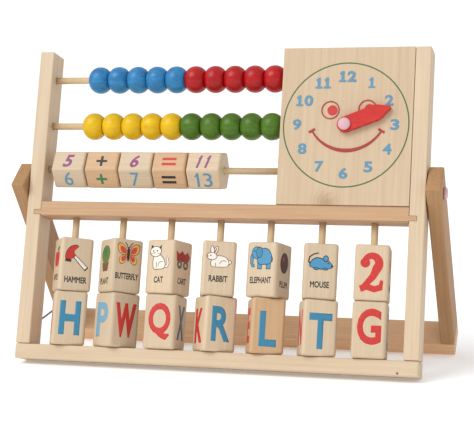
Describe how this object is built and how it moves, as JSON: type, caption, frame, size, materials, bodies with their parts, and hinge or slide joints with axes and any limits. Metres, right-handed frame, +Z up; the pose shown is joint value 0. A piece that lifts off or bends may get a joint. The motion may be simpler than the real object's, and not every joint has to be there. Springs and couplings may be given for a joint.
{
  "type": "abacus",
  "caption": "Wooden learning abacus on a folding stand: bead rods, number blocks, a clock board with one hand, and turning picture and letter blocks.",
  "frame": {"origin": "centre of the standing object's bounding box, on the surface it stands on", "axes": "+X along the rails towards the clock board, -Y towards the user, +Z up"},
  "size_m": [0.3392, 0.1528, 0.2407],
  "materials": {
    "pine": "bare sanded pine with a fine straight grain",
    "pink_pine": "bare sanded wood, pinker than the rest",
    "board_pine": "bare sanded board with a printed clock face",
    "block_wood": "bare sanded block with a print on each face",
    "rod_wood": "plain round dowel",
    "blue_paint": "glossy blue paint on wood",
    "red_paint": "glossy red paint on wood",
    "yellow_paint": "glossy yellow paint on wood",
    "green_paint": "glossy green paint on wood",
    "hand_paint": "satin red paint on wood",
    "pin_plastic": "smooth pale pink moulding",
    "cord_fibre": "thin twisted grey-purple cord"
  },
  "bodies": {
    "front_frame": {"left_post": "pine", "right_post": "pine", "bottom_rail": "pine", "middle_rail": "pink_pine", "clock_board": "board_pine", "bead_rod_upper": "rod_wood", "bead_rod_lower": "rod_wood", "number_rod": "rod_wood", "column_rod_1": "rod_wood", "column_rod_2": "rod_wood", "column_rod_3": "rod_wood", "column_rod_4": "rod_wood", "column_rod_5": "rod_wood", "column_rod_6": "rod_wood", "column_rod_7": "rod_wood", "clock_pin": "pin_plastic", "tether_cord": "cord_fibre"},
    "rear_stand": {"left_leg": "pine", "right_leg": "pine", "rear_crossbar": "pine"},
    "clock_hand": {"clock_hand": "hand_paint"},
    "blue_bead_1": {"blue_bead_1": "blue_paint"},
    "blue_bead_2": {"blue_bead_2": "blue_paint"},
    "blue_bead_3": {"blue_bead_3": "blue_paint"},
    "blue_bead_4": {"blue_bead_4": "blue_paint"},
    "blue_bead_5": {"blue_bead_5": "blue_paint"},
    "red_bead_1": {"red_bead_1": "red_paint"},
    "red_bead_2": {"red_bead_2": "red_paint"},
    "red_bead_3": {"red_bead_3": "red_paint"},
    "red_bead_4": {"red_bead_4": "red_paint"},
    "red_bead_5": {"red_bead_5": "red_paint"},
    "yellow_bead_1": {"yellow_bead_1": "yellow_paint"},
    "yellow_bead_2": {"yellow_bead_2": "yellow_paint"},
    "yellow_bead_3": {"yellow_bead_3": "yellow_paint"},
    "yellow_bead_4": {"yellow_bead_4": "yellow_paint"},
    "yellow_bead_5": {"yellow_bead_5": "yellow_paint"},
    "green_bead_1": {"green_bead_1": "green_paint"},
    "green_bead_2": {"green_bead_2": "green_paint"},
    "green_bead_3": {"green_bead_3": "green_paint"},
    "green_bead_4": {"green_bead_4": "green_paint"},
    "green_bead_5": {"green_bead_5": "green_paint"},
    "number_block_1": {"number_block_1": "block_wood"},
    "number_block_2": {"number_block_2": "block_wood"},
    "number_block_3": {"number_block_3": "block_wood"},
    "number_block_4": {"number_block_4": "block_wood"},
    "number_block_5": {"number_block_5": "block_wood"},
    "picture_block_1": {"picture_block_1": "block_wood"},
    "picture_block_2": {"picture_block_2": "block_wood"},
    "picture_block_3": {"picture_block_3": "block_wood"},
    "picture_block_4": {"picture_block_4": "block_wood"},
    "picture_block_5": {"picture_block_5": "block_wood"},
    "picture_block_6": {"picture_block_6": "block_wood"},
    "picture_block_7": {"picture_block_7": "block_wood"},
    "letter_block_1": {"letter_block_1": "block_wood"},
    "letter_block_2": {"letter_block_2": "block_wood"},
    "letter_block_3": {"letter_block_3": "block_wood"},
    "letter_block_4": {"letter_block_4": "block_wood"},
    "letter_block_5": {"letter_block_5": "block_wood"},
    "letter_block_6": {"letter_block_6": "block_wood"},
    "letter_block_7": {"letter_block_7": "block_wood"}
  },
  "joints": [
    {"name": "stand_fold", "type": "hinge", "parent": "front_frame", "child": "rear_stand", "pos_m": [0, -0.03162, 0.13314], "axis": [1, 0, 0], "range_deg": [-51.5, 0], "deforming": ["tether_cord"]},
    {"name": "clock_hand_turn", "type": "hinge", "parent": "front_frame", "child": "clock_hand", "pos_m": [0.0935, -0.03115, 0.18265], "axis": [0, -0.9724, 0.2334], "continuous": true},
    {"name": "number_block_1_turn", "type": "hinge", "parent": "front_frame", "child": "number_block_1", "pos_m": [-0.12245, -0.02808, 0.14792], "axis": [1, 0, 0], "continuous": true},
    {"name": "number_block_2_turn", "type": "hinge", "parent": "front_frame", "child": "number_block_2", "pos_m": [-0.09515, -0.02808, 0.14792], "axis": [1, 0, 0], "continuous": true},
    {"name": "number_block_3_turn", "type": "hinge", "parent": "front_frame", "child": "number_block_3", "pos_m": [-0.06785, -0.02808, 0.14792], "axis": [1, 0, 0], "continuous": true},
    {"name": "number_block_4_turn", "type": "hinge", "parent": "front_frame", "child": "number_block_4", "pos_m": [-0.04055, -0.02808, 0.14792], "axis": [1, 0, 0], "continuous": true},
    {"name": "number_block_5_turn", "type": "hinge", "parent": "front_frame", "child": "number_block_5", "pos_m": [-0.01325, -0.02808, 0.14792], "axis": [1, 0, 0], "continuous": true},
    {"name": "picture_block_1_turn", "type": "hinge", "parent": "front_frame", "child": "picture_block_1", "pos_m": [-0.1173, -0.0506, 0.05408], "axis": [0, 0.2334, 0.9724], "continuous": true},
    {"name": "picture_block_2_turn", "type": "hinge", "parent": "front_frame", "child": "picture_block_2", "pos_m": [-0.0782, -0.0506, 0.05408], "axis": [0, 0.2334, 0.9724], "continuous": true},
    {"name": "picture_block_3_turn", "type": "hinge", "parent": "front_frame", "child": "picture_block_3", "pos_m": [-0.0391, -0.0506, 0.05408], "axis": [0, 0.2334, 0.9724], "continuous": true},
    {"name": "picture_block_4_turn", "type": "hinge", "parent": "front_frame", "child": "picture_block_4", "pos_m": [0, -0.0506, 0.05408], "axis": [0, 0.2334, 0.9724], "continuous": true},
    {"name": "picture_block_5_turn", "type": "hinge", "parent": "front_frame", "child": "picture_block_5", "pos_m": [0.0391, -0.0506, 0.05408], "axis": [0, 0.2334, 0.9724], "continuous": true},
    {"name": "picture_block_6_turn", "type": "hinge", "parent": "front_frame", "child": "picture_block_6", "pos_m": [0.0782, -0.0506, 0.05408], "axis": [0, 0.2334, 0.9724], "continuous": true},
    {"name": "picture_block_7_turn", "type": "hinge", "parent": "front_frame", "child": "picture_block_7", "pos_m": [0.1173, -0.0506, 0.05408], "axis": [0, 0.2334, 0.9724], "continuous": true},
    {"name": "letter_block_1_turn", "type": "hinge", "parent": "front_frame", "child": "letter_block_1", "pos_m": [-0.1173, -0.06024, 0.01393], "axis": [0, 0.2334, 0.9724], "continuous": true},
    {"name": "letter_block_2_turn", "type": "hinge", "parent": "front_frame", "child": "letter_block_2", "pos_m": [-0.0782, -0.06024, 0.01393], "axis": [0, 0.2334, 0.9724], "continuous": true},
    {"name": "letter_block_3_turn", "type": "hinge", "parent": "front_frame", "child": "letter_block_3", "pos_m": [-0.0391, -0.06024, 0.01393], "axis": [0, 0.2334, 0.9724], "continuous": true},
    {"name": "letter_block_4_turn", "type": "hinge", "parent": "front_frame", "child": "letter_block_4", "pos_m": [0, -0.06024, 0.01393], "axis": [0, 0.2334, 0.9724], "continuous": true},
    {"name": "letter_block_5_turn", "type": "hinge", "parent": "front_frame", "child": "letter_block_5", "pos_m": [0.0391, -0.06024, 0.01393], "axis": [0, 0.2334, 0.9724], "continuous": true},
    {"name": "letter_block_6_turn", "type": "hinge", "parent": "front_frame", "child": "letter_block_6", "pos_m": [0.0782, -0.06024, 0.01393], "axis": [0, 0.2334, 0.9724], "continuous": true},
    {"name": "letter_block_7_turn", "type": "hinge", "parent": "front_frame", "child": "letter_block_7", "pos_m": [0.1173, -0.06024, 0.01393], "axis": [0, 0.2334, 0.9724], "continuous": true},
    {"name": "blue_bead_1_slide", "type": "slide", "parent": "front_frame", "child": "blue_bead_1", "axis": [1, 0, 0], "range_m": [-0.029, 0]},
    {"name": "blue_bead_2_slide", "type": "slide", "parent": "front_frame", "child": "blue_bead_2", "axis": [1, 0, 0], "range_m": [-0.029, 0]},
    {"name": "blue_bead_3_slide", "type": "slide", "parent": "front_frame", "child": "blue_bead_3", "axis": [1, 0, 0], "range_m": [-0.029, 0]},
    {"name": "blue_bead_4_slide", "type": "slide", "parent": "front_frame", "child": "blue_bead_4", "axis": [1, 0, 0], "range_m": [-0.029, 0]},
    {"name": "blue_bead_5_slide", "type": "slide", "parent": "front_frame", "child": "blue_bead_5", "axis": [1, 0, 0], "range_m": [-0.029, 0]},
    {"name": "red_bead_1_slide", "type": "slide", "parent": "front_frame", "child": "red_bead_1", "axis": [1, 0, 0], "range_m": [-0.029, 0]},
    {"name": "red_bead_2_slide", "type": "slide", "parent": "front_frame", "child": "red_bead_2", "axis": [1, 0, 0], "range_m": [-0.029, 0]},
    {"name": "red_bead_3_slide", "type": "slide", "parent": "front_frame", "child": "red_bead_3", "axis": [1, 0, 0], "range_m": [-0.029, 0]},
    {"name": "red_bead_4_slide", "type": "slide", "parent": "front_frame", "child": "red_bead_4", "axis": [1, 0, 0], "range_m": [-0.029, 0]},
    {"name": "red_bead_5_slide", "type": "slide", "parent": "front_frame", "child": "red_bead_5", "axis": [1, 0, 0], "range_m": [-0.029, 0]},
    {"name": "yellow_bead_1_slide", "type": "slide", "parent": "front_frame", "child": "yellow_bead_1", "axis": [1, 0, 0], "range_m": [-0.0271, 0]},
    {"name": "yellow_bead_2_slide", "type": "slide", "parent": "front_frame", "child": "yellow_bead_2", "axis": [1, 0, 0], "range_m": [-0.0271, 0]},
    {"name": "yellow_bead_3_slide", "type": "slide", "parent": "front_frame", "child": "yellow_bead_3", "axis": [1, 0, 0], "range_m": [-0.0271, 0]},
    {"name": "yellow_bead_4_slide", "type": "slide", "parent": "front_frame", "child": "yellow_bead_4", "axis": [1, 0, 0], "range_m": [-0.0271, 0]},
    {"name": "yellow_bead_5_slide", "type": "slide", "parent": "front_frame", "child": "yellow_bead_5", "axis": [1, 0, 0], "range_m": [-0.0271, 0]},
    {"name": "green_bead_1_slide", "type": "slide", "parent": "front_frame", "child": "green_bead_1", "axis": [1, 0, 0], "range_m": [-0.0271, 0]},
    {"name": "green_bead_2_slide", "type": "slide", "parent": "front_frame", "child": "green_bead_2", "axis": [1, 0, 0], "range_m": [-0.0271, 0]},
    {"name": "green_bead_3_slide", "type": "slide", "parent": "front_frame", "child": "green_bead_3", "axis": [1, 0, 0], "range_m": [-0.0271, 0]},
    {"name": "green_bead_4_slide", "type": "slide", "parent": "front_frame", "child": "green_bead_4", "axis": [1, 0, 0], "range_m": [-0.0271, 0]},
    {"name": "green_bead_5_slide", "type": "slide", "parent": "front_frame", "child": "green_bead_5", "axis": [1, 0, 0], "range_m": [-0.0271, 0]}
  ],
  "couplings": [
    {"joint": "blue_bead_2_slide", "follows": "blue_bead_1_slide", "ratio": 1},
    {"joint": "blue_bead_3_slide", "follows": "blue_bead_1_slide", "ratio": 1},
    {"joint": "blue_bead_4_slide", "follows": "blue_bead_1_slide", "ratio": 1},
    {"joint": "blue_bead_5_slide", "follows": "blue_bead_1_slide", "ratio": 1},
    {"joint": "red_bead_1_slide", "follows": "blue_bead_1_slide", "ratio": 1},
    {"joint": "red_bead_2_slide", "follows": "blue_bead_1_slide", "ratio": 1},
    {"joint": "red_bead_3_slide", "follows": "blue_bead_1_slide", "ratio": 1},
    {"joint": "red_bead_4_slide", "follows": "blue_bead_1_slide", "ratio": 1},
    {"joint": "red_bead_5_slide", "follows": "blue_bead_1_slide", "ratio": 1},
    {"joint": "yellow_bead_2_slide", "follows": "yellow_bead_1_slide", "ratio": 1},
    {"joint": "yellow_bead_3_slide", "follows": "yellow_bead_1_slide", "ratio": 1},
    {"joint": "yellow_bead_4_slide", "follows": "yellow_bead_1_slide", "ratio": 1},
    {"joint": "yellow_bead_5_slide", "follows": "yellow_bead_1_slide", "ratio": 1},
    {"joint": "green_bead_1_slide", "follows": "yellow_bead_1_slide", "ratio": 1},
    {"joint": "green_bead_2_slide", "follows": "yellow_bead_1_slide", "ratio": 1},
    {"joint": "green_bead_3_slide", "follows": "yellow_bead_1_slide", "ratio": 1},
    {"joint": "green_bead_4_slide", "follows": "yellow_bead_1_slide", "ratio": 1},
    {"joint": "green_bead_5_slide", "follows": "yellow_bead_1_slide", "ratio": 1}
  ]
}
